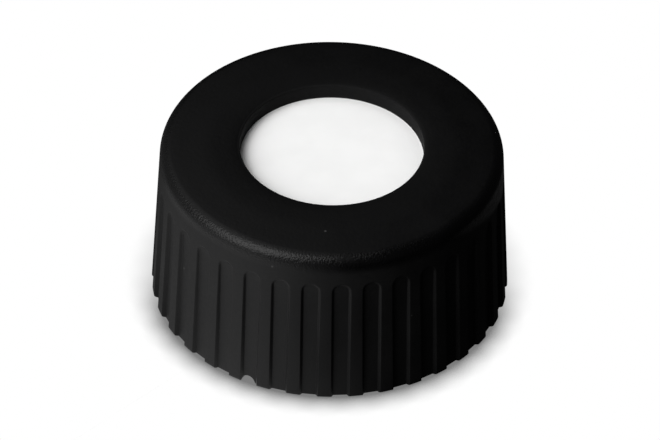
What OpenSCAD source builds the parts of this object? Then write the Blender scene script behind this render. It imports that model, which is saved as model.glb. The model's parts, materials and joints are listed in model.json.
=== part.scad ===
// Open-top screw cap with a septum, for a short-thread sample vial.
//
// The cap is one moulded shell. Its tapered skirt has flutes that leave grip ribs between them, its
// crown has a needle hole, and inside it are a thread for the vial's neck, a plain entry below the
// thread and a snap bead above it. The septum is one punched disc, held between bead and crown.
// The cap stands on its rim at z = 0, with its axis on Z.

/* [Cap] */
// Diameter over the ribs, at the rim
cap_d = 11.8; // [11.6:0.1:12.6]
// Height from the rim to the top of the crown
cap_h = 5.77; // [5.7:0.01:6.4]
// Radius of the shoulder between skirt and crown
shoulder_r = 0.53; // [0.3:0.01:0.6]
// Lean of the skirt's outside, in degrees
skirt_draft = 3.2; // [1:0.1:3.4]
// Thickness of the crown
crown_t = 0.53; // [0.45:0.01:0.6]
// Diameter of the needle hole
needle_hole_d = 6; // [4:0.1:6.4]
// Radius of the needle hole's upper edge
hole_edge_r = 0.05; // [0.02:0.01:0.1]
// Chamfer of the rim's outer edge
rim_chamfer = 0.06; // [0.03:0.01:0.08]

/* [Grip] */
// Number of flutes round the skirt, and of ribs between them
flutes = 36; // [24:1:38]
// Depth of a flute at the rim
flute_depth = 0.13; // [0.1:0.01:0.18]
// Depth of a flute at its upper end
flute_top_depth = 0.1; // [0.06:0.01:0.15]
// Share of the skirt's circumference that is flute floor
floor_share = 0.44; // [0.3:0.01:0.46]
// Angle between a flute's side and the wall's normal, in degrees
flank_angle = 30; // [25:1:45]
// Height of a flute's rounded upper end
flute_top_z = 4.66; // [4:0.02:4.76]
// Turn of the flutes about the axis, in degrees
flute_turn = 4; // [0:0.1:10]

/* [Neck thread] */
// Diameter at the thread's root
root_d = 9.2; // [9.1:0.05:9.3]
// Diameter at the thread's crest
crest_d = 8.3; // [8.2:0.05:8.6]
// Rise of the thread in one turn
pitch = 1.8; // [1.6:0.05:1.85]
// Turns of thread, with both run-outs
turns = 1.2; // [0.8:0.05:1.25]
// Width of the ridge at its root
ridge_root_w = 1; // [0.8:0.05:1.1]
// Width of the ridge at its crest
ridge_crest_w = 0.4; // [0.2:0.05:0.6]
// Diameter of the plain entry below the thread
entry_d = 9.6; // [9.55:0.05:9.8]
// Height of the plain entry
entry_h = 0.75; // [0.5:0.05:0.85]

/* [Septum] */
// Diameter of the septum
septum_d = 9; // [8.9:0.05:9.05]
// Thickness of the septum
septum_t = 1; // [0.8:0.05:1.05]
// Diameter inside the snap bead
bead_d = 8.6; // [8.4:0.05:8.8]

/* [Wear] */
// Width of the nick in the rim
nick_w = 0.44; // [0.4:0.01:0.6]
// Height of the nick's roof over the rim
nick_h = 0.23; // [0.2:0.01:0.35]
// Direction of the nick from the front, in degrees, positive to the right
nick_turn = -26.5; // [-180:0.5:180]

/* [Hidden] */
$fn = 96;

cap_r = cap_d / 2;
root_r = root_d / 2;
crest_r = crest_d / 2;
entry_r = entry_d / 2;
bead_r = bead_d / 2;
needle_hole_r = needle_hole_d / 2;

crown_z = cap_h - crown_t;
seat_z = crown_z - septum_t;
// Height of the snap bead, and of the plain band at its crest
bead_h = 0.4;
bead_crest_w = 0.1;
// Chamfer that leads the neck into the plain entry
mouth_chamfer = 0.15;
// Gap between the plain entry's top and the thread's lowest flank
thread_lift = 0.1;
// Turn over which the thread rises to its full height, in degrees
run_out_turn = 35;
// Least height of the thread's ends, as a share of its full height
end_share = 0.02;
// How far the thread's foot is sunk into the wall
thread_sunk = 0.1;
// Sections of the thread in one turn
steps_per_turn = 72;
// Radius at which the nick starts, going outwards
nick_from_r = cap_r - 0.55;
// Direction of the front from +X, in degrees
front = -90;
// Cutters reach this far past the surfaces that they cut
over = 0.5;

// The shoulder's arc touches the leaning wall and the flat crown
shoulder_z = cap_h - shoulder_r;
shoulder_x = wall_r(shoulder_z) - shoulder_r / cos(skirt_draft);

// Radius of the skirt over its ribs, at height z
function wall_r(z) = cap_r - z * tan(skirt_draft);

// The kite between the shoulder's centre and its corner, less the shoulder's arc
module shoulder_corner() {
    difference() {
        polygon([
            [shoulder_x, shoulder_z],
            [shoulder_x, cap_h + over],
            [cap_r + over, cap_h + over],
            [shoulder_x + 2 * cap_r * cos(skirt_draft), shoulder_z + 2 * cap_r * sin(skirt_draft)]
        ]);
        translate([shoulder_x, shoulder_z])
            circle(r = shoulder_r);
    }
}

// The needle hole, with its rounded upper edge
module needle_hole_section() {
    square([needle_hole_r, cap_h + over]);
    translate([0, cap_h - hole_edge_r])
        difference() {
            square([needle_hole_r + hole_edge_r, over]);
            translate([needle_hole_r + hole_edge_r, 0])
                circle(r = hole_edge_r);
        }
}

// The socket for the vial's neck: mouth, plain entry, thread root, snap bead and septum pocket
module socket_section() {
    polygon([
        [0, -over],
        [entry_r + mouth_chamfer + over, -over],
        [entry_r, mouth_chamfer],
        [entry_r, entry_h],
        [root_r, entry_h + entry_r - root_r],
        [root_r, seat_z - bead_h],
        [bead_r, seat_z - bead_crest_w],
        [bead_r, seat_z],
        [root_r, seat_z],
        [root_r, crown_z],
        [0, crown_z]
    ]);
}

// Half of the cap's section, from its axis outwards, without flutes or thread
module cap_section() {
    difference() {
        polygon([
            [0, 0],
            [cap_r - rim_chamfer, 0],
            [wall_r(rim_chamfer), rim_chamfer],
            [wall_r(cap_h), cap_h],
            [0, cap_h]
        ]);
        shoulder_corner();
        socket_section();
        needle_hole_section();
    }
}

// One flute's cutter, on +X: a slot with leaning sides that ends in a cone of the same lean
module flute() {
    floor_r = cap_r - flute_depth;
    floor_top_r = wall_r(flute_top_z) - flute_top_depth;
    floor_draft = atan((floor_r - floor_top_r) / flute_top_z);
    half_floor = PI * cap_r / flutes * floor_share;
    height = flute_depth + over;
    half_mouth = half_floor + height * tan(flank_angle);
    slot_h = flute_top_z - half_floor - flute_top_depth * tan(flank_angle);
    translate([floor_r, 0, 0])
        rotate([0, -floor_draft, 0]) {
            translate([0, 0, -over])
                linear_extrude(slot_h + over)
                    polygon([[0, -half_floor], [height, -half_mouth], [height, half_mouth], [0, half_floor]]);
            translate([0, 0, slot_h])
                rotate([0, 90, 0])
                    cylinder(h = height, r1 = half_floor, r2 = half_mouth);
        }
}

// A chip out of the rim's outer edge, at the foot of one flute
module nick() {
    rotate([0, 0, front + nick_turn])
        translate([nick_from_r, 0, nick_h - nick_w / 2])
            rotate([0, 90, 0])
                cylinder(h = cap_r, d = nick_w);
}

// Height of the thread ridge above its root, as a share of the full height, at a share t of its run
function run_out(t) = max(end_share, min(1, min(t, 1 - t) * turns * 360 / run_out_turn));

// One section of the thread ridge, as four points that start and end inside the wall
function ridge_ring(t) =
    let (
        turn = t * turns * 360,
        z = entry_h + thread_lift + ridge_root_w / 2 + t * turns * pitch,
        share = run_out(t),
        rise = (root_r - crest_r) * share,
        lean = (ridge_root_w - ridge_crest_w) / 2 / (root_r - crest_r),
        crest = ridge_crest_w / 2 * share,
        foot = crest + (rise + thread_sunk) * lean,
        foot_r = root_r + thread_sunk,
        crest_x = root_r - rise,
        section = [[foot_r, -foot], [crest_x, -crest], [crest_x, crest], [foot_r, foot]]
    )
    [for (p = section) [p.x * cos(turn), p.x * sin(turn), z + p.y]];

// The thread ridge: right-handed, with a run-out at each end
module thread_ridge() {
    steps = round(steps_per_turn * turns);
    corners = 4;
    points = [for (i = [0:steps]) each ridge_ring(i / steps)];
    sides = [
        for (i = [0:steps - 1], k = [0:corners - 1])
            let (a = i * corners + k, b = i * corners + (k + 1) % corners)
            each [[a, b + corners, b], [a, a + corners, b + corners]]
    ];
    last = steps * corners;
    ends = [[0, 1, 2, 3], [last + 3, last + 2, last + 1, last]];
    polyhedron(points = points, faces = concat(sides, ends), convexity = 4);
}

// The moulded cap
module screw_cap() {
    color([0.05, 0.05, 0.055])
        union() {
            difference() {
                rotate_extrude()
                    cap_section();
                for (i = [0:flutes - 1])
                    rotate([0, 0, front + flute_turn + i * 360 / flutes])
                        flute();
                nick();
            }
            thread_ridge();
        }
}

// The punched disc that closes the needle hole from inside
module septum() {
    color([0.95, 0.95, 0.94])
        translate([0, 0, seat_z])
            cylinder(h = septum_t, d = septum_d);
}

screw_cap();
septum();
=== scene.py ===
"""Looks for an open-top screw cap with its septum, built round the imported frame.

The cap is one surface worked out on a grid: a closed section carried round the axis, into which flutes, a
chip and the thread are pressed. The septum is a soft disc under the crown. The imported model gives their
driving sizes. The dataclasses hold millimetres and degrees, and directions round the axis run from the
front, positive to the right. Meshes are in metres.
"""

from __future__ import annotations

import json
import logging
import math
from dataclasses import dataclass, replace
from enum import Enum
from typing import Any

import bpy
import numpy as np
from mathutils import Matrix, Vector

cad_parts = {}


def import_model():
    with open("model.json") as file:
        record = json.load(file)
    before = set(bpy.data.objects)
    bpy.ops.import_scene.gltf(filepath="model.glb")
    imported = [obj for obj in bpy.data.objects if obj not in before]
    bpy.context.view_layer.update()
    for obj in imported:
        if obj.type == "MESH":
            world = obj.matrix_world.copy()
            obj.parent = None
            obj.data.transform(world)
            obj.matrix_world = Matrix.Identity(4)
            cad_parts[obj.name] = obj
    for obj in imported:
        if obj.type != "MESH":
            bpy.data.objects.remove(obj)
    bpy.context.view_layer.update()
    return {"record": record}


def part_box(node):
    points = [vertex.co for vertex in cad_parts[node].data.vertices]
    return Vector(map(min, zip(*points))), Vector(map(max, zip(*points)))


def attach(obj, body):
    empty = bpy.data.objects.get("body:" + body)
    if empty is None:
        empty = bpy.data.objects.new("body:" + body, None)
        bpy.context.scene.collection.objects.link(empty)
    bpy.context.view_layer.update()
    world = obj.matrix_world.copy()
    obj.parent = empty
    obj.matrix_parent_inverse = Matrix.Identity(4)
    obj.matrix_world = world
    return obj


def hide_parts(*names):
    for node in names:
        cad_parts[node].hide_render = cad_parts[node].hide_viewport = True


LOG = logging.getLogger("screw_cap")
MM = 0.001

Colour = tuple[float, float, float]
Point = tuple[float, float, float]
Range = tuple[float, float]
Corner = tuple[float, float]
Inputs = dict[str | int, object]
Socket = bpy.types.NodeSocket

WHITE = (1.0, 1.0, 1.0, 1.0)
# A remapped level that goes up, and one that goes down
RISE = (0.0, 1.0)
FALL = (1.0, 0.0)


class Slot(Enum):
    """The record's material slots."""

    CAP = "cap_plastic"
    SEPTUM = "septum_rubber"


class Run(Enum):
    """How a remapped value goes between its ends."""

    EVEN = "LINEAR"
    SMOOTH = "SMOOTHSTEP"


@dataclass(frozen=True)
class PackedSizes:
    """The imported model's sizes that drive the pieces."""

    height: float
    reach: float
    hole_r: float
    entry_r: float
    thread_root_r: float
    septum_r: float
    seat_z: float
    crown_z: float

    @classmethod
    def read(cls, record: dict[str, Any]) -> PackedSizes:
        """Reads the sizes.

        Args:
            record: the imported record.

        Returns:
            Heights and outer radii from the nodes' boxes, and inner radii from the record's mounts.
        """
        walls = {mount["name"]: mount["dims"].get("r_mm") for mount in record["mounts"]}
        cap_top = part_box("screw_cap")[1] / MM
        septum_low, septum_top = (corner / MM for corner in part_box("septum"))
        return cls(
            height=cap_top.z,
            reach=cap_top.x,
            hole_r=walls["needle_hole"],
            entry_r=walls["neck_entry"],
            thread_root_r=walls["neck_thread"],
            septum_r=septum_top.x,
            seat_z=septum_low.z,
            crown_z=septum_top.z,
        )


# ---- helpers


def smooth_positive(value: np.ndarray, blend: float | np.ndarray) -> np.ndarray:
    """Zero below -blend, the value above +blend, and (value + blend)^2 / 4 blend between them."""
    middle = (value + blend) ** 2 / (4 * blend)
    return np.where(value <= -blend, 0.0, np.where(value >= blend, value, middle))


def smooth_step(value: np.ndarray) -> np.ndarray:
    """The cubic 3t^2 - 2t^3 on 0 to 1, level outside it."""
    t = np.clip(value, 0.0, 1.0)
    return t * t * (3 - 2 * t)


def even(first: float | Corner, last: float | Corner, steps: int) -> np.ndarray:
    """Evenly spaced values or section points from the first towards the last, which is left out."""
    return np.linspace(first, last, steps, endpoint=False)


def arc(centre: Corner, radius: float, first: float, last: float, steps: int) -> np.ndarray:
    """Section points on an arc: its centre plus its radius times the cosine and sine of even angles."""
    angle = np.radians(even(first, last, steps))
    return np.stack([centre[0] + radius * np.cos(angle), centre[1] + radius * np.sin(angle)], axis=1)


@dataclass(frozen=True)
class Grid:
    """A grid of points round the axis: radius, direction and height, of shape (rows, columns)."""

    radius: np.ndarray
    angle: np.ndarray
    z: np.ndarray

    @classmethod
    def carry(cls, section: np.ndarray, angle: np.ndarray) -> Grid:
        """A section's radii and heights, one to a row, carried round to the directions of the columns."""
        radius, z = (np.broadcast_to(part[:, None], angle.shape) for part in section.T)
        return cls(radius, angle, z)

    def points(self) -> np.ndarray:
        """The places of the points: the direction's sine goes right, and its cosine to the front."""
        turn = np.radians(self.angle)
        return np.stack([self.radius * np.sin(turn), -self.radius * np.cos(turn), self.z], axis=-1)


def ring_faces(rows: int, columns: int, first: int = 0) -> np.ndarray:
    """Quads of a grid that closes on itself along its columns.

    Args:
        rows: number of rings.
        columns: number of vertices in a ring.
        first: index of the grid's first vertex.

    Returns:
        Array of shape ((rows - 1) * columns, 4): a vertex, the next in its ring, and the two above them.
    """
    row, column = np.meshgrid(np.arange(rows - 1), np.arange(columns), indexing="ij")
    after = (column + 1) % columns
    low, high = row * columns, (row + 1) * columns
    quads = np.stack([low + column, low + after, high + after, high + column], axis=-1)
    return quads.reshape(-1, 4) + first


def seam_faces(fine_first: int, fine: int, coarse_first: int, fine_below: bool) -> np.ndarray:
    """Triangles that join a ring to one with half its vertices: three to each coarse edge.

    Args:
        fine_first: index of the fine ring's first vertex.
        fine: number of vertices in the fine ring.
        coarse_first: index of the coarse ring's first vertex.
        fine_below: whether the fine ring comes first along the section.

    Returns:
        Array of shape (3 * fine / 2, 3).
    """
    coarse = fine // 2
    here = np.arange(coarse)
    c0, c1 = coarse_first + here, coarse_first + (here + 1) % coarse
    f0, f1, f2 = (fine_first + (2 * here + k) % fine for k in range(3))
    faces = np.concatenate([np.stack(t, axis=1) for t in ((f0, f1, c0), (f1, c1, c0), (f1, f2, c1))])
    return faces if fine_below else faces[:, ::-1]


def mesh_object(
    name: str, points: np.ndarray, faces: list[np.ndarray], crease: float, finish: bpy.types.Material
) -> bpy.types.Object:
    """Makes a smooth-shaded object.

    Args:
        name: name of the object and of its mesh.
        points: vertices in millimetres, of shape (n, 3).
        faces: arrays of faces, each array with one number of corners.
        crease: angle between two faces above which their edge is hard.
        finish: the object's material.

    Returns:
        The object, linked to the scene, at the origin.
    """
    mesh = bpy.data.meshes.new(name)
    mesh.from_pydata((points * MM).tolist(), [], [face for group in faces for face in group.tolist()])
    mesh.validate()
    mesh.shade_smooth()
    mesh.set_sharp_from_angle(angle=math.radians(crease))
    mesh.update()
    mesh.materials.append(finish)
    piece = bpy.data.objects.new(name, mesh)
    bpy.context.scene.collection.objects.link(piece)
    return piece


# ---- shader graphs


@dataclass(frozen=True)
class Noise:
    """A noise pattern: its features to the millimetre, its finer layers and how much each one counts."""

    per_mm: float
    detail: float
    roughness: float


class ShaderGraph:
    """The node tree of a material or a world, with short calls that add and join its nodes."""

    def __init__(self, owner: bpy.types.Material | bpy.types.World) -> None:
        """Empties the owner's node tree."""
        owner.use_nodes = True
        self.tree = owner.node_tree
        self.tree.nodes.clear()

    def add(self, kind: str, inputs: Inputs | None = None, **settings: object) -> bpy.types.Node:
        """Adds a node.

        Args:
            kind: the node's type name.
            inputs: names or numbers of sockets with a value, or with an output socket that is joined to it.
            settings: the node's own properties.

        Returns:
            The new node.
        """
        node = self.tree.nodes.new(kind)
        for key, value in settings.items():
            setattr(node, key, value)
        for key, value in (inputs or {}).items():
            if isinstance(value, Socket):
                self.tree.links.new(value, node.inputs[key])
            else:
                node.inputs[key].default_value = value
        return node

    def math(self, operation: str, first: object, second: object = 0.0) -> Socket:
        """The result of one Math node on two numbers or sockets."""
        return self.add("ShaderNodeMath", {0: first, 1: second}, operation=operation).outputs[0]

    def vector(self, operation: str, inputs: Inputs) -> Socket:
        """The vector that one Vector Math node gives."""
        return self.add("ShaderNodeVectorMath", inputs, operation=operation).outputs["Vector"]

    def product(self, first: object, *others: object) -> Socket:
        """The product of two or more numbers or sockets."""
        for other in others:
            first = self.math("MULTIPLY", first, other)
        return first

    def remap(self, value: object, source: Range, target: Range, run: Run = Run.SMOOTH) -> Socket:
        """A value carried from one range to another, held at its ends.

        Args:
            value: the socket that is read.
            source: the value's range.
            target: the result's range, at the same ends.
            run: how the result goes between its ends.

        Returns:
            The result.
        """
        (low, high), (to_low, to_high) = source, target
        inputs = {"Value": value, "From Min": low, "From Max": high, "To Min": to_low, "To Max": to_high}
        return self.add("ShaderNodeMapRange", inputs, interpolation_type=run.value).outputs["Result"]

    def remap_turn(self, turn: Socket, sides: Range, target: Range, run: Run = Run.SMOOTH) -> Socket:
        """A direction in radians carried from a range in degrees to another range, held at its ends."""
        low, high = (math.radians(side) for side in sides)
        return self.remap(turn, (low, high), target, run)

    def millimetres(self, stretch: Point = (1.0, 1.0, 1.0)) -> Socket:
        """Object coordinates in millimetres, with each axis stretched by its own factor."""
        place = self.add("ShaderNodeTexCoord").outputs["Object"]
        scale = tuple(s / MM for s in stretch)
        return self.add("ShaderNodeMapping", {"Vector": place, "Scale": scale}).outputs["Vector"]

    def height(self) -> Socket:
        """A point's height over the rim's plane, in millimetres."""
        return self.add("ShaderNodeSeparateXYZ", {"Vector": self.millimetres()}).outputs["Z"]

    def distance(self) -> Socket:
        """A point's distance from the cap's axis, in millimetres."""
        flat = self.millimetres((1.0, 1.0, 0.0))
        return self.add("ShaderNodeVectorMath", {0: flat}, operation="LENGTH").outputs["Value"]

    def direction(self) -> Socket:
        """A point's direction from the cap's axis, in radians from the front, positive to the right."""
        axes = self.add("ShaderNodeSeparateXYZ", {"Vector": self.millimetres()}).outputs
        return self.math("ARCTAN2", axes["X"], self.math("MULTIPLY", axes["Y"], -1.0))

    def noise(self, place: Socket, noise: Noise) -> Socket:
        """The level of a noise at a place in millimetres."""
        inputs = {"Scale": noise.per_mm, "Detail": noise.detail, "Roughness": noise.roughness}
        return self.add("ShaderNodeTexNoise", {"Vector": place, **inputs}).outputs["Fac"]

    def mix(self, factor: Socket, first: Colour | Socket, second: Colour) -> Socket:
        """A colour that goes from a first colour or socket to a second colour as the factor grows."""
        start = first if isinstance(first, Socket) else (*first, 1.0)
        inputs = {"Factor": factor, "A": start, "B": (*second, 1.0)}
        return self.add("ShaderNodeMix", inputs, data_type="RGBA").outputs[2]

    def for_camera(self, seen: float | Socket, otherwise: Socket) -> Socket:
        """A level that the camera sees, and another for all other rays."""
        camera = self.add("ShaderNodeLightPath").outputs["Is Camera Ray"]
        inputs = {"Factor": camera, "A": otherwise, "B": seen}
        return self.add("ShaderNodeMix", inputs, data_type="FLOAT").outputs[0]

    def bump(self, level: Socket, height: float, under: Socket | None = None) -> Socket:
        """The normal of a relief that is so many millimetres high, on the surface or on another relief."""
        inputs = {"Height": level, "Distance": height * MM, "Strength": 1.0}
        if under is not None:
            inputs["Normal"] = under
        return self.add("ShaderNodeBump", inputs).outputs["Normal"]

    def finish(self, shader: Socket, kind: str = "ShaderNodeOutputMaterial") -> None:
        """Joins the last shader to the output."""
        self.add(kind, {"Surface": shader})

    def finish_solid(self, colour: Socket, roughness: Socket, specular: float, normal: Socket) -> None:
        """Joins a Principled shader to the output."""
        inputs = {"Base Color": colour, "Roughness": roughness, "Specular IOR Level": specular}
        shader = self.add("ShaderNodeBsdfPrincipled", {**inputs, "Normal": normal})
        self.finish(shader.outputs["BSDF"])


# ---- finishes


@dataclass(frozen=True)
class PaintedSheenBand:
    """A painted sheen: a pale broken band under the shoulder's right side, a reflection painted into the
    colour.

    The band's top is level. Its foot falls by `spread` for each radian of the turn to the right, so `foot`
    is the height that the foot would have at the front.
    """

    colour: Colour = (0.026, 0.026, 0.026)
    begins: Range = (42.0, 57.0)
    ends: Range = (92.0, 115.0)
    spread: float = 1.15
    foot: Range = (6.0, 6.25)
    top: Range = (5.28, 5.45)
    grain_levels: Range = (0.35, 0.6)
    grain_share: Range = (0.4, 1.0)

    def level(self, graph: ShaderGraph, grain: Socket) -> Socket:
        """How strongly the painted sheen shows at a place.

        Args:
            graph: the plastic's graph.
            grain: the grain's level, which breaks the mark up.

        Returns:
            A level from zero to one: the product of the band's two ends, its foot, its top and the grain.
        """
        turn, height = graph.direction(), graph.height()
        fallen = graph.math("ADD", height, graph.product(turn, self.spread))
        return graph.product(
            graph.remap_turn(turn, self.begins, RISE),
            graph.remap_turn(turn, self.ends, FALL),
            graph.remap(fallen, self.foot, RISE),
            graph.remap(height, self.top, FALL),
            graph.remap(grain, self.grain_levels, self.grain_share),
        )


@dataclass(frozen=True)
class MouldedPlastic:
    """Black satin plastic from a fine-blasted mould, with grain, drawing streaks and a little dust.

    Above the skirt it is smoother, and its colour is painted darker there as shade on the top. The needle
    hole's wall is rough again, and the shoulder is scuffed, with a painted sheen under its right side.
    """

    name: str = "black_moulded_plastic"
    black: Colour = (0.0010, 0.0010, 0.0011)
    skirt: Colour = (0.0045, 0.0045, 0.0046)
    dust: Colour = (0.035, 0.035, 0.035)
    specular: float = 0.16
    roughness: Range = (0.5, 0.6)
    cloud: Noise = Noise(0.7, 3.0, 0.6)
    cloud_levels: Range = (0.35, 0.65)
    clouding: float = 0.25
    grain: Noise = Noise(7.0, 4.0, 0.65)
    grain_height: float = 0.004
    cloud_and_grain_levels: Range = (0.7, 1.3)
    streaks: Noise = Noise(9.0, 2.0, 0.5)
    streak_stretch: Point = (1.0, 1.0, 0.06)
    streak_height: float = 0.0025
    top_foot: Range = (5.0, 5.35)
    top_painted_shade: float = 0.12
    top_smoother: float = 0.22
    hole_wall_r: Range = (3.02, 3.1)
    hole_rougher: float = 0.5
    scuff: Noise = Noise(17.0, 2.0, 0.6)
    scuff_height: float = 0.022
    scuff_top: Range = (5.64, 5.71)
    scuff_from_r: Range = (4.3, 4.9)
    scuff_smoother: float = 0.06
    speck_per_mm: float = 1.1
    speck_r: Range = (0.0275, 0.055)
    speck_share: float = 0.25
    painted_sheen: PaintedSheenBand = PaintedSheenBand()

    def build(self) -> bpy.types.Material:
        """Makes the material.

        Returns:
            Principled plastic whose colour and roughness drift in clouds, with painted shade darkening the
            colour above the skirt, specks of dust, a painted sheen under the shoulder's right side and a
            grain, which is finer and stronger where the shoulder is scuffed.
        """
        material = bpy.data.materials.new(self.name)
        graph = ShaderGraph(material)
        place = graph.millimetres()
        cloud, grain, scuff = (graph.noise(place, noise) for noise in (self.cloud, self.grain, self.scuff))
        streaks = graph.noise(graph.millimetres(self.streak_stretch), self.streaks)
        above, inner, worn = self.zones(graph)

        # Painted shade: above the skirt the colour is held near black, darker than the skirt's, as shade on
        # the top.
        painted_shade_factor = graph.math("SUBTRACT", 1.0, graph.product(above, 1.0 - self.top_painted_shade))
        drift = graph.product(painted_shade_factor, graph.remap(cloud, self.cloud_levels, (1.0 - self.clouding, 1.0)))
        colour = graph.mix(drift, self.black, self.skirt)
        # Painted sheen: a pale band under the shoulder's right side, a reflection painted into the colour.
        colour = graph.mix(self.painted_sheen.level(graph, grain), colour, self.painted_sheen.colour)
        colour = graph.mix(self.specks(graph, place), colour, self.dust)

        rough = graph.remap(graph.math("ADD", cloud, grain), self.cloud_and_grain_levels, self.roughness)
        smoother = graph.math("SUBTRACT", self.top_smoother, graph.product(inner, self.hole_rougher))
        scuffed = graph.product(worn, self.scuff_smoother)
        smoother = graph.math("ADD", graph.product(above, smoother), scuffed)

        relief = graph.bump(streaks, self.streak_height)
        relief = graph.bump(grain, self.grain_height, relief)
        relief = graph.bump(graph.product(scuff, worn), self.scuff_height, relief)
        graph.finish_solid(colour, graph.math("SUBTRACT", rough, smoother), self.specular, relief)
        return material

    def zones(self, graph: ShaderGraph) -> tuple[Socket, Socket, Socket]:
        """Where the mould was smoother and the colour is painted darker as shade, and where handling has
        scuffed the plastic.

        Args:
            graph: the material's graph.

        Returns:
            Three levels from zero to one: for all above the skirt, for the needle hole's wall and what lies
            inside it, and for the shoulder.
        """
        height, radius = graph.height(), graph.distance()
        above = graph.remap(height, self.top_foot, RISE)
        inner = graph.remap(radius, self.hole_wall_r, FALL)
        outside = graph.remap(radius, self.scuff_from_r, RISE)
        below = graph.remap(height, self.scuff_top, FALL)
        return above, inner, graph.product(above, below, outside)

    def specks(self, graph: ShaderGraph, place: Socket) -> Socket:
        """Where dust lies.

        Args:
            graph: the material's graph.
            place: coordinates in millimetres.

        Returns:
            One inside a small spot at the middle of a few random cells, and zero elsewhere.
        """
        cells = graph.add("ShaderNodeTexVoronoi", {"Vector": place, "Scale": self.speck_per_mm}).outputs
        near = graph.remap(cells["Distance"], self.speck_r, FALL)
        pick = graph.add("ShaderNodeSeparateColor", {"Color": cells["Color"]}).outputs[0]
        return graph.product(near, graph.math("GREATER_THAN", pick, 1.0 - self.speck_share))


@dataclass(frozen=True)
class Silicone:
    """White matt silicone, faintly mottled, with the soft skin that calendered sheet has."""

    name: str = "white_silicone"
    white: Colour = (0.92, 0.92, 0.915)
    mottled: Colour = (0.895, 0.895, 0.89)
    specular: float = 0.35
    roughness: Range = (0.52, 0.66)
    mottle: Noise = Noise(0.9, 3.0, 0.5)
    skin: Noise = Noise(10.0, 3.0, 0.5)
    skin_height: float = 0.0015
    levels: Range = (0.3, 0.7)

    def build(self) -> bpy.types.Material:
        """Makes the material.

        Returns:
            Principled rubber whose white and roughness drift a little, with a fine skin.
        """
        material = bpy.data.materials.new(self.name)
        graph = ShaderGraph(material)
        place = graph.millimetres()
        mottle, skin = graph.noise(place, self.mottle), graph.noise(place, self.skin)
        colour = graph.mix(graph.remap(mottle, self.levels, RISE), self.white, self.mottled)
        rough = graph.remap(skin, self.levels, self.roughness)
        graph.finish_solid(colour, rough, self.specular, graph.bump(skin, self.skin_height))
        return material


# ---- the cap


@dataclass(frozen=True)
class FlutedSkirt:
    """The flutes pressed into the skirt, which leave the grip ribs between them."""

    count: int = 36
    depth: float = 0.13
    top_depth: float = 0.10
    half_floor: float = 0.228
    top_half_floor: float = 0.257
    flank: float = 30.0
    top_z: float = 4.66
    turn: float = 4.0
    corner: float = 0.016
    arch_corner: float = 0.065
    arch_rise: float = 0.058
    arch_from_z: float = 4.0
    floor_columns: tuple[float, ...] = (0.25, 0.5, 0.7, 0.85)
    corner_columns: float = 1.1

    @property
    def period(self) -> float:
        """Degrees from one flute to the next."""
        return 360 / self.count

    @property
    def slope(self) -> float:
        """How far a flute's side goes sideways for each millimetre of height over the floor."""
        return math.tan(math.radians(self.flank))

    def spread(self, z: np.ndarray) -> np.ndarray:
        """Half the width of a flute's floor at a height: it narrows evenly towards the rim."""
        share = np.clip(z / self.top_z, 0.0, 1.0)
        return self.half_floor + (self.top_half_floor - self.half_floor) * share

    def columns(self, z: np.ndarray, wall: float) -> np.ndarray:
        """Directions of the grid's columns, which follow the flutes' corners as the floors narrow.

        Args:
            z: height of each row.
            wall: the wall's radius at the rim.

        Returns:
            Angles of shape (rows, columns). A column runs along the middle of each flute and each rib, and
            most others run along a flute's four corners.
        """
        floor = np.degrees(self.spread(z) / wall)[:, None]
        crest = floor + math.degrees(self.depth * self.slope / wall)
        beside = math.degrees(self.corner * self.corner_columns / wall) * np.array([-1.0, 0.0, 1.0])
        half_period = self.period / 2
        half = np.concatenate(
            [
                floor * np.array(self.floor_columns),
                floor + beside,
                (floor + crest) / 2,
                crest + beside,
                (crest + half_period) / 2,
            ],
            axis=1,
        )
        middle, rib = np.zeros_like(floor), np.full_like(floor, half_period)
        one = np.concatenate([middle, half, rib, self.period - half[:, ::-1]], axis=1)
        flutes = self.turn + self.period * np.arange(self.count)
        return (flutes[None, :, None] + one[:, None, :]).reshape(len(z), -1)

    def press(self, grid: Grid, wall: float, lean: float) -> np.ndarray:
        """Presses the flutes into a wall.

        A flute's floor leans from its depth at the rim to its depth at the top. A point's height over that
        floor is its distance from the flute's middle line, less half the floor's width, over the tangent of
        the side's angle. The middle line ends at the centre of the rounded top. The wall cuts the height
        off, and both corners are rounded, more softly at the top, where the floor rises a little more.

        Args:
            grid: the wall's points.
            wall: the wall's radius at the rim.
            lean: how much the wall's radius falls for each millimetre of height.

        Returns:
            The radius with the flutes pressed in.
        """
        half_period, radius, z = self.period / 2, grid.radius, grid.z
        off = np.radians((grid.angle - self.turn + half_period) % self.period - half_period)
        end = self.top_z - self.top_half_floor - self.top_depth * self.slope
        distance = np.hypot(radius * np.sin(off), np.maximum(z - end, 0.0))
        soft = smooth_step((z - self.arch_from_z) / (self.top_z - self.arch_from_z))
        corner = self.corner + (self.arch_corner - self.corner) * soft
        rim_floor, top_floor = wall - self.depth, wall - lean * self.top_z - self.top_depth
        floor = rim_floor + (top_floor - rim_floor) * z / self.top_z + self.arch_rise * soft
        ramp = smooth_positive((distance - self.spread(z)) / self.slope, corner)
        room = radius * np.cos(off) - floor
        height = room - smooth_positive(room - ramp, corner)
        return np.where(room > 0, (floor + height) / np.cos(off), radius)


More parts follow.
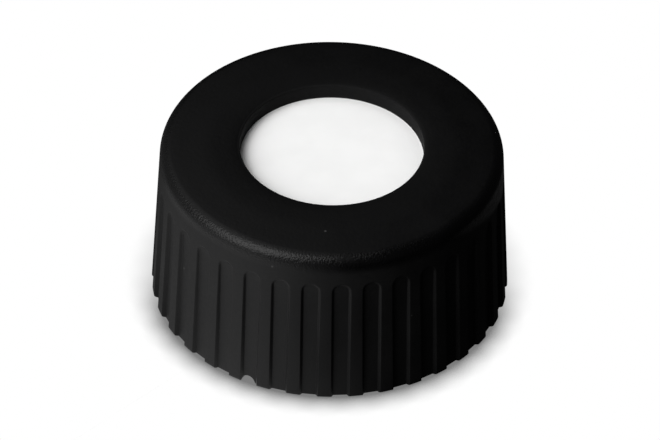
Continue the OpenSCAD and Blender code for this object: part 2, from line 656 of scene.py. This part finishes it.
@dataclass(frozen=True)
class NeckThread:
    """The thread inside the cap: one right-handed ridge that fades in and out of the wall."""

    height: float = 0.45
    pitch: float = 1.8
    turns: float = 1.2
    lift: float = 0.1
    starts_at: float = 90.0
    foot_w: float = 1.0
    crest_w: float = 0.4
    run_out: float = 35.0
    corner: float = 0.05

    def press(self, grid: Grid, wall: float, entry_top: float) -> np.ndarray:
        """Raises the ridge from the wall.

        At a direction, the ridge is centred at its first height plus the pitch times the turns run so far.
        It has its full height over the crest's width and falls off along the flanks. Both shrink towards
        the nearer end of the thread.

        Args:
            grid: the socket's points.
            wall: radius of the wall that the ridge stands on.
            entry_top: height of the plain entry's top. The ridge's foot starts a lift above it.

        Returns:
            The radius with the ridge raised inwards.
        """
        radius, turn = grid.radius, ((grid.angle - self.starts_at) % 360) / 360
        first_z = entry_top + self.lift + self.foot_w / 2
        slope = self.height / ((self.foot_w - self.crest_w) / 2)
        for lap in range(math.ceil(self.turns)):
            run = turn + lap
            share = np.clip(np.minimum(run, self.turns - run) * 360 / self.run_out, 0.0, 1.0)
            full = self.height * share
            away = np.abs(grid.z - first_z - self.pitch * run) - self.crest_w / 2 * share
            fall = smooth_positive(away, self.corner) * slope
            ridge = wall - smooth_positive(full - fall, self.corner)
            raised = (share > 0) & (full > fall - self.corner)
            radius = np.where(raised, np.minimum(radius, ridge), radius)
        return radius


@dataclass(frozen=True)
class RimNick:
    """A chip out of the rim's outer edge, at the foot of one flute."""

    width: float = 0.44
    height: float = 0.23
    turn: float = -26.5
    from_r: float = 5.35
    row_gap: float = 0.01
    fade_z: float = 0.5

    def lift(self, grid: Grid) -> np.ndarray:
        """Lifts the rim over the chip.

        The chip's roof is a round arch, which starts between two close rows and runs out through the wall.
        The wall over it is squeezed evenly up to the height where the lift has faded.

        Args:
            grid: the cap's points.

        Returns:
            The lifted heights.
        """
        off, z = np.radians(grid.angle - self.turn), grid.z
        across = grid.radius * np.sin(off)
        half = self.width / 2
        outside = grid.radius > self.from_r - self.row_gap / 2
        chipped = (np.abs(across) < half) & (np.cos(off) > 0) & outside & (z < self.fade_z)
        roof = self.height - half + np.sqrt(np.maximum(half**2 - across**2, 0.0))
        return np.where(chipped, z + roof * (1 - z / self.fade_z), z)


@dataclass(frozen=True)
class CapShell:
    """The moulded cap as one closed surface: its section, carried round the axis.

    The surface is two grids. The outer one has twice the inner one's columns, and they meet on the needle
    hole's wall and on the rim's face.
    """

    packed: PackedSizes
    draft: float = 3.2
    rim_edge: float = 0.06
    rim_edge_arc: Range = (-90.0, -20.0)
    shoulder_r: float = 0.4
    crown_fall: float = 0.068
    fall_angle: float = 3.4
    crown_bend: float = 0.6
    lip_fall: float = 0.012
    lip_run: float = 0.45
    hole_edge: float = 0.05
    seam_below_edge: float = 0.15
    seam_above_crown: float = 0.12
    rim_seam_r: float = 5.15
    dense_rows: Range = (4.25, 4.7)
    mouth_r: float = 4.95
    mouth_chamfer: float = 0.15
    entry_top: float = 0.75
    bead_r: float = 4.3
    bead_h: float = 0.4
    bead_crest: float = 0.1
    crease: float = 38.0
    flutes: FlutedSkirt = FlutedSkirt()
    thread: NeckThread = NeckThread()
    nick: RimNick = RimNick()
    finish: MouldedPlastic = MouldedPlastic()

    @property
    def lean(self) -> float:
        """How much the skirt's radius falls for each millimetre of height."""
        return math.tan(math.radians(self.draft))

    @property
    def rim_r(self) -> float:
        """Radius over the ribs in the rim's plane, where the rounded edge's two faces would meet."""
        return self.packed.reach + self.rim_edge * self.lean

    @property
    def bead_top(self) -> float:
        """Height at which the snap bead's plain crest starts."""
        return self.packed.seat_z - self.bead_crest

    def wall(self, z: float | np.ndarray) -> float | np.ndarray:
        """Radius of the skirt over its ribs at a height."""
        return self.rim_r - z * self.lean

    def crown(self, first: float) -> np.ndarray:
        """The crown's top, from the shoulder inwards to the needle hole's rounded edge.

        It rises evenly from the shoulder and levels off over a parabola: with the slope m, the bend's
        length b and the distance d from the level part, it lies m d^2 / 2b lower in the bend, and
        m (d - b / 2) lower beyond it. The lip's dip grows with the square of the distance from its start.

        Args:
            first: radius at which the shoulder's arc ends.

        Returns:
            Array of (radius, height).
        """
        slope, bend = math.tan(math.radians(self.fall_angle)), self.crown_bend
        level_r = first - self.crown_fall / slope - bend / 2
        edge_r = self.packed.hole_r + self.hole_edge
        lip_r = edge_r + self.lip_run
        radius = np.concatenate(
            [
                even(first, level_r + bend, steps=3),
                even(level_r + bend, level_r, steps=5),
                even(level_r, lip_r, steps=1),
                even(lip_r, edge_r, steps=4),
            ]
        )
        away = np.maximum(radius - level_r, 0.0)
        fall = slope * np.where(away < bend, away**2 / (2 * bend), away - bend / 2)
        dip = np.clip((lip_r - radius) / self.lip_run, 0.0, 1.0) ** 2 * self.lip_fall
        return np.stack([radius, self.packed.height - fall - dip], axis=1)

    def skirt(self, top: float) -> np.ndarray:
        """The skirt's wall over its ribs, from the rim's rounded edge up.

        Args:
            top: height at which the shoulder starts.

        Returns:
            Array of (radius, height), with most rows at the flutes' ends.
        """
        dense_from, dense_to = self.dense_rows
        z = np.concatenate(
            [
                even(self.rim_edge, self.nick.fade_z, steps=6),
                even(self.nick.fade_z, dense_from, steps=4),
                even(dense_from, dense_to, steps=20),
                even(dense_to, top, steps=3),
            ]
        )
        return np.stack([self.wall(z), z], axis=1)

    def outer_section(self) -> np.ndarray:
        """The section's outside, from the rim's face to the needle hole's wall.

        The shoulder's arc touches the leaning wall and the crown where that falls at its steepest.

        Returns:
            Array of (radius, height).
        """
        last = 90.0 - self.fall_angle
        shoulder_z = self.packed.height - self.crown_fall - self.shoulder_r * math.sin(math.radians(last))
        shoulder_x = self.wall(shoulder_z) - self.shoulder_r / math.cos(math.radians(self.draft))
        crown_x = shoulder_x + self.shoulder_r * math.cos(math.radians(last))
        edge, edge_x = self.rim_edge, self.rim_r - self.rim_edge
        hole_r, nick_r = self.packed.hole_r, self.nick.from_r
        hole_z = self.packed.height - self.lip_fall - self.hole_edge
        return np.concatenate(
            [
                even((self.rim_seam_r, 0.0), (nick_r - self.nick.row_gap, 0.0), steps=1),
                even((nick_r - self.nick.row_gap, 0.0), (nick_r, 0.0), steps=1),
                even((nick_r, 0.0), (edge_x, 0.0), steps=3),
                arc((edge_x, edge), edge, *self.rim_edge_arc, steps=4),
                self.skirt(shoulder_z),
                arc((shoulder_x, shoulder_z), self.shoulder_r, self.draft, last, steps=12),
                self.crown(crown_x),
                arc((hole_r + self.hole_edge, hole_z), self.hole_edge, 90.0, 180.0, steps=5),
                np.array([[hole_r, hole_z], [hole_r, hole_z - self.seam_below_edge]]),
            ]
        )

    def inner_section(self) -> np.ndarray:
        """The section's inside, from the needle hole's wall to the rim's face.

        Returns:
            Array of (radius, height), with even rows along the thread.
        """
        hole_r, entry_r, root = self.packed.hole_r, self.packed.entry_r, self.packed.thread_root_r
        crown, seat = self.packed.crown_z, self.packed.seat_z
        bead_foot = seat - self.bead_h
        thread_foot = self.entry_top + entry_r - root
        return np.concatenate(
            [
                even((hole_r, crown + self.seam_above_crown), (hole_r, crown), steps=1),
                even((hole_r, crown), (root, crown), steps=3),
                even((root, crown), (root, seat), steps=2),
                even((root, seat), (self.bead_r, seat), steps=2),
                even((self.bead_r, seat), (self.bead_r, self.bead_top), steps=1),
                even((self.bead_r, self.bead_top), (root, bead_foot), steps=3),
                even((root, bead_foot), (root, thread_foot), steps=46),
                even((root, thread_foot), (entry_r, self.entry_top), steps=2),
                even((entry_r, self.entry_top), (entry_r, self.mouth_chamfer), steps=2),
                even((entry_r, self.mouth_chamfer), (self.mouth_r, 0.0), steps=2),
                np.array([[self.mouth_r, 0.0]]),
            ]
        )

    def outer_surface(self) -> np.ndarray:
        """The outer section carried round, with the flutes and the nick pressed in.

        Returns:
            Array of points of shape (rows, columns, 3).
        """
        section = self.outer_section()
        grid = Grid.carry(section, self.flutes.columns(section[:, 1], self.rim_r))
        walled = grid.radius > self.wall(self.packed.height) - self.shoulder_r / 2
        fluted = walled & (grid.z < self.flutes.top_z + self.flutes.corner)
        pressed = np.minimum(self.flutes.press(grid, self.rim_r, self.lean), grid.radius)
        grid = replace(grid, radius=np.where(fluted, pressed, grid.radius))
        return replace(grid, z=self.nick.lift(grid)).points()

    def inner_surface(self) -> np.ndarray:
        """The inner section carried round on every second column, with the thread raised.

        Returns:
            Array of points of shape (rows, columns, 3).
        """
        section = self.inner_section()
        grid = Grid.carry(section, self.flutes.columns(section[:, 1], self.rim_r)[:, ::2])
        threaded = (grid.z > self.entry_top) & (grid.z < self.bead_top)
        raised = self.thread.press(grid, self.packed.thread_root_r, self.entry_top)
        raised = np.minimum(raised, grid.radius)
        return replace(grid, radius=np.where(threaded, raised, grid.radius)).points()

    def build(self) -> bpy.types.Object:
        """Builds the shell and dresses it.

        Returns:
            One closed mesh. Two rings of triangles join the outer grid to the inner one.
        """
        outer, inner = self.outer_surface(), self.inner_surface()
        (outer_rows, fine), (inner_rows, coarse) = outer.shape[:2], inner.shape[:2]
        inner_first = outer_rows * fine
        faces = [
            ring_faces(outer_rows, fine),
            ring_faces(inner_rows, coarse, inner_first),
            seam_faces(inner_first - fine, fine, inner_first, fine_below=True),
            seam_faces(0, fine, inner_first + (inner_rows - 1) * coarse, fine_below=False),
        ]
        points = np.concatenate([outer.reshape(-1, 3), inner.reshape(-1, 3)])
        piece = mesh_object("cap_shell", points, faces, self.crease, self.finish.build())
        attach(piece, "root")
        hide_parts("screw_cap")
        return piece


# ---- the septum


@dataclass(frozen=True)
class SeptumDisc:
    """The punched septum: a soft disc between the snap bead and the crown."""

    packed: PackedSizes
    edge: float = 0.05
    bulge: float = 0.07
    bulge_power: int = 8
    pole_ring_r: float = 0.3
    columns: int = 240
    crease: float = 40.0
    finish: Silicone = Silicone()

    def section(self) -> np.ndarray:
        """The disc's section, from the ring round the lower pole over the rounded edge to the upper ring.

        The crown squeezes the disc, so its top bulges a little in the needle hole: by one less a power of
        the distance over the hole's radius.

        Returns:
            Array of (radius, height).
        """
        low, top, hole_r = self.packed.seat_z, self.packed.crown_z, self.packed.hole_r
        rim = self.packed.septum_r - self.edge
        radius, z = np.concatenate(
            [
                even((self.pole_ring_r, low), (rim, low), steps=8),
                arc((rim, low + self.edge), self.edge, -90.0, 0.0, steps=5),
                arc((rim, top - self.edge), self.edge, 0.0, 90.0, steps=5),
                even((rim, top), (hole_r, top), steps=4),
                even((hole_r, top), (self.pole_ring_r, top), steps=24),
                np.array([[self.pole_ring_r, top]]),
            ]
        ).T
        share = np.minimum(radius / hole_r, 1.0) ** self.bulge_power
        lift = np.where(z > top - self.edge / 2, self.bulge * (1 - share), 0.0)
        return np.stack([radius, z + lift], axis=1)

    def build(self) -> bpy.types.Object:
        """Builds the disc and dresses it.

        Returns:
            One closed mesh, with a fan of triangles round each pole.
        """
        section = self.section()
        here = np.arange(self.columns)
        after = (here + 1) % self.columns
        angle = np.tile(360 * here / self.columns, (len(section), 1))
        grid = Grid.carry(section, angle).points().reshape(-1, 3)
        poles = [[0, 0, self.packed.seat_z], [0, 0, self.packed.crown_z + self.bulge]]
        pole, last = np.full(self.columns, len(grid)), len(grid) - self.columns
        faces = [
            ring_faces(len(section), self.columns),
            np.stack([pole, after, here], axis=1),
            np.stack([pole + 1, last + here, last + after], axis=1),
        ]
        points = np.concatenate([grid, poles])
        piece = mesh_object("septum_disc", points, faces, self.crease, self.finish.build())
        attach(piece, "root")
        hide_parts("septum")
        return piece


# ---- the stage


@dataclass(frozen=True)
class SoftBox:
    """An upright rectangular soft lamp, aimed at the cap."""

    name: str
    azimuth: float
    elevation: float
    width: float
    height: float
    radiance: float
    distance: float = 200.0
    mirrored: bool = True

    def build(self) -> None:
        """Makes the lamp, unseen by the camera. Its power is its radiance times its area times pi."""
        lamp = bpy.data.lights.new(self.name, "AREA")
        lamp.shape = "RECTANGLE"
        lamp.size, lamp.size_y = self.width * MM, self.height * MM
        lamp.energy = self.radiance * math.pi * lamp.size * lamp.size_y
        place = bpy.data.objects.new(self.name, lamp)
        around, up = math.radians(self.azimuth), math.radians(self.elevation)
        towards = Vector((math.sin(around) * math.cos(up), -math.cos(around) * math.cos(up), math.sin(up)))
        place.location = towards * self.distance * MM
        place.rotation_euler = towards.to_track_quat("Z", "Y").to_euler()
        place.visible_camera = False
        place.visible_glossy = self.mirrored
        bpy.context.scene.collection.objects.link(place)


@dataclass(frozen=True)
class ContactShadow:
    """The soft shadow on the floor round the cap, full at the front and weak beside the cap."""

    reach: float = 0.95
    lean: float = 15.0
    free: float = 0.45
    power: float = 1.13
    level: float = 0.2
    sides: Range = (62.0, 95.0)
    side_share: float = 0.33
    samples: int = 16

    def whiteness(self, graph: ShaderGraph) -> Socket:
        """How white the camera sees the floor.

        It is one less a power of how much of a half-sphere over the point, leaning to the cap, is taken.

        Args:
            graph: the floor's graph.

        Returns:
            One in the open, and the shadow's level right against the cap's front.
        """
        lean = math.tan(math.radians(self.lean))
        outwards = graph.vector("NORMALIZE", {0: graph.millimetres((1.0, 1.0, 0.0))})
        towards = graph.vector("SCALE", {0: outwards, "Scale": -lean})
        up = graph.vector("ADD", {0: towards, 1: (0.0, 0.0, 1.0)})
        inputs = {"Distance": self.reach * MM, "Normal": graph.vector("NORMALIZE", {0: up})}
        free = graph.add("ShaderNodeAmbientOcclusion", inputs, samples=self.samples).outputs["AO"]
        taken = graph.remap(free, (self.free, 1.0), FALL, Run.EVEN)
        side = graph.math("ABSOLUTE", graph.direction())
        full = 1.0 - self.level
        share = graph.remap_turn(side, self.sides, (full, full * self.side_share))
        return graph.math("SUBTRACT", 1.0, graph.product(graph.math("POWER", taken, self.power), share))


@dataclass(frozen=True)
class FloorLight:
    """How bright the cap sees the floor: bright on the front left, dark on the right and far behind.

    The light rises from behind the left side, and falls off to the right, sooner further out. Close to the
    cap it is weaker, most on the left. Far behind on the left a little remains.
    """

    bright: float = 1.3
    dark: float = 0.015
    rise: Range = (-118.0, -28.0)
    fall: Range = (-36.0, 24.0)
    swing: float = 15.0
    swing_reach: Range = (6.4, 9.2)
    near_reach: Range = (5.9, 8.5)
    near_sides: Range = (-90.0, -30.0)
    near_share: Range = (0.5, 0.95)
    far: float = 0.15
    far_reach: Range = (9.0, 14.0)
    far_sides: Range = (-160.0, -115.0)

    def level(self, graph: ShaderGraph) -> Socket:
        """The floor's brightness by direction and distance.

        Args:
            graph: the floor's graph.

        Returns:
            The sum of the near and the far light, times the fall to the right, plus the darkest level.
        """
        turn, distance = graph.direction(), graph.distance()
        swing = graph.remap(distance, self.swing_reach, (0.0, math.radians(self.swing)), Run.EVEN)
        fall = graph.remap_turn(graph.math("ADD", turn, swing), self.fall, FALL)
        least = graph.remap_turn(turn, self.near_sides, self.near_share)
        opened = graph.remap(distance, self.near_reach, RISE)
        opened = graph.product(opened, graph.math("SUBTRACT", 1.0, least))
        rise = graph.remap_turn(turn, self.rise, (0.0, self.bright), Run.EVEN)
        near = graph.product(rise, graph.math("ADD", least, opened))
        behind = graph.remap_turn(turn, self.far_sides, RISE)
        far = graph.product(behind, graph.remap(distance, self.far_reach, (0.0, self.far)))
        return graph.math("ADD", graph.product(graph.math("ADD", near, far), fall), self.dark)


@dataclass(frozen=True)
class RoomLight:
    """The room round the stage, as levels over the three axes of the direction looked in.

    It is bright above, falling off to the right, a little bright low on the left, and faint in front.
    """

    above: float = 2.1
    above_rise: Range = (0.5, 1.0)
    above_sides: Range = (-0.27, 0.08)
    left: float = 0.38
    left_sides: Range = (-0.9, -0.3)
    front: float = 0.15
    front_sides: Range = (-0.6, -0.95)
    dark: float = 0.02

    def build(self) -> None:
        """Makes the world: white for the camera, and the room for all other rays."""
        world = bpy.data.worlds.new("room")
        bpy.context.scene.world = world
        graph = ShaderGraph(world)
        towards = graph.add("ShaderNodeTexCoord").outputs["Generated"]
        axes = graph.add("ShaderNodeSeparateXYZ", {"Vector": towards}).outputs
        above = graph.product(
            graph.remap(axes["X"], self.above_sides, FALL, Run.EVEN),
            graph.remap(axes["Z"], self.above_rise, (0.0, self.above), Run.EVEN),
        )
        left = graph.remap(axes["X"], self.left_sides, (self.left, 0.0), Run.EVEN)
        front = graph.remap(axes["Y"], self.front_sides, (self.dark, self.front))
        level = graph.math("ADD", above, graph.math("ADD", left, front))
        seen = graph.for_camera(1.0, level)
        light = graph.add("ShaderNodeBackground", {"Color": WHITE, "Strength": seen})
        graph.finish(light.outputs[0], "ShaderNodeOutputWorld")


@dataclass(frozen=True)
class Studio:
    """A white floor with a soft contact shadow, two soft lamps and a room bright on the upper left.

    The back lamp lights the ribs on the far side, and isn't mirrored in the plastic.
    """

    floor_size: float = 3000.0
    floor_drop: float = 0.002
    shadow: ContactShadow = ContactShadow()
    floor_light: FloorLight = FloorLight()
    room: RoomLight = RoomLight()
    left_lamp: SoftBox = SoftBox(
        "left_lamp", azimuth=-53.0, elevation=36.5, width=150.0, height=203.0, radiance=5.1
    )
    back_lamp: SoftBox = SoftBox(
        "back_lamp", azimuth=160.0, elevation=2.0, width=260.0, height=34.0, radiance=34.0, mirrored=False
    )

    def floor_material(self) -> bpy.types.Material:
        """Makes the floor's material.

        Returns:
            White with a contact shadow for the camera, lit from the left for other rays, clear from below.
        """
        material = bpy.data.materials.new("studio_floor")
        graph = ShaderGraph(material)
        level = graph.for_camera(self.shadow.whiteness(graph), self.floor_light.level(graph))
        glow = graph.add("ShaderNodeEmission", {"Color": WHITE, "Strength": level})
        clear = graph.add("ShaderNodeBsdfTransparent")
        below = graph.add("ShaderNodeNewGeometry").outputs["Backfacing"]
        either = graph.add("ShaderNodeMixShader", {"Fac": below, 1: glow.outputs[0], 2: clear.outputs[0]})
        graph.finish(either.outputs[0])
        material.cycles.emission_sampling = "NONE"
        return material

    def build(self) -> None:
        """Makes the floor, the lamps and the world."""
        half, drop = self.floor_size / 2 * MM, -self.floor_drop * MM
        mesh = bpy.data.meshes.new("floor")
        corners = [(-half, -half, drop), (half, -half, drop), (half, half, drop), (-half, half, drop)]
        mesh.from_pydata(corners, [], [(0, 1, 2, 3)])
        mesh.materials.append(self.floor_material())
        floor = bpy.data.objects.new("floor", mesh)
        bpy.context.scene.collection.objects.link(floor)
        self.left_lamp.build()
        self.back_lamp.build()
        self.room.build()


@dataclass(frozen=True)
class ViewCamera:
    """A long lens that looks down at the cap from the front."""

    elevation: float = 40.79
    distance: float = 180.53
    aim_z: float = 3.0
    tilt: float = -0.12
    pan: float = -0.0063
    roll: float = 1.01
    lens: float = 299.9
    sensor: float = 36.0
    clip: Range = (10.0, 10000.0)

    def build(self) -> None:
        """Makes the scene's camera, which looks at the aim point and is then panned, tilted and rolled."""
        data = bpy.data.cameras.new("view_camera")
        data.lens, data.sensor_width = self.lens, self.sensor
        data.clip_start, data.clip_end = (distance * MM for distance in self.clip)
        down, roll = math.radians(self.elevation), math.radians(self.roll)
        forward, right = Vector((0, math.cos(down), -math.sin(down))), Vector((1, 0, 0))
        tilted, panned = math.tan(math.radians(self.tilt)), math.tan(math.radians(self.pan))
        ahead = (forward + tilted * right.cross(forward) + panned * right).normalized()
        level = ahead.cross(Vector((0, 0, 1))).normalized()
        above = level.cross(ahead)
        across = math.cos(roll) * level + math.sin(roll) * above
        upright = math.cos(roll) * above - math.sin(roll) * level
        turned = Matrix((across, upright, -ahead)).transposed().to_4x4()
        aim = Vector((0, 0, self.aim_z * MM))
        camera = bpy.data.objects.new("view_camera", data)
        camera.matrix_world = Matrix.Translation(aim - forward * self.distance * MM) @ turned
        bpy.context.scene.collection.objects.link(camera)
        bpy.context.scene.camera = camera


def report(piece: bpy.types.Object) -> None:
    """Logs a piece's name and its number of triangles."""
    corners = np.empty(len(piece.data.polygons), dtype=np.int32)
    piece.data.polygons.foreach_get("loop_total", corners)
    LOG.info("%s: %d triangles", piece.name, int((corners - 2).sum()))


def main() -> None:
    """Reads the sizes, builds the camera, the pieces in order and then the stage, and logs each piece's
    triangles.
    """
    logging.basicConfig(level=logging.INFO, format="%(name)s: %(message)s")
    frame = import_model()
    packed = PackedSizes.read(frame["record"])
    ViewCamera().build()
    for part in (CapShell(packed), SeptumDisc(packed)):
        report(part.build())
    Studio().build()
    bpy.context.scene.view_settings.view_transform = "Standard"
    bpy.context.view_layer.update()


if __name__ == "__main__":
    main()
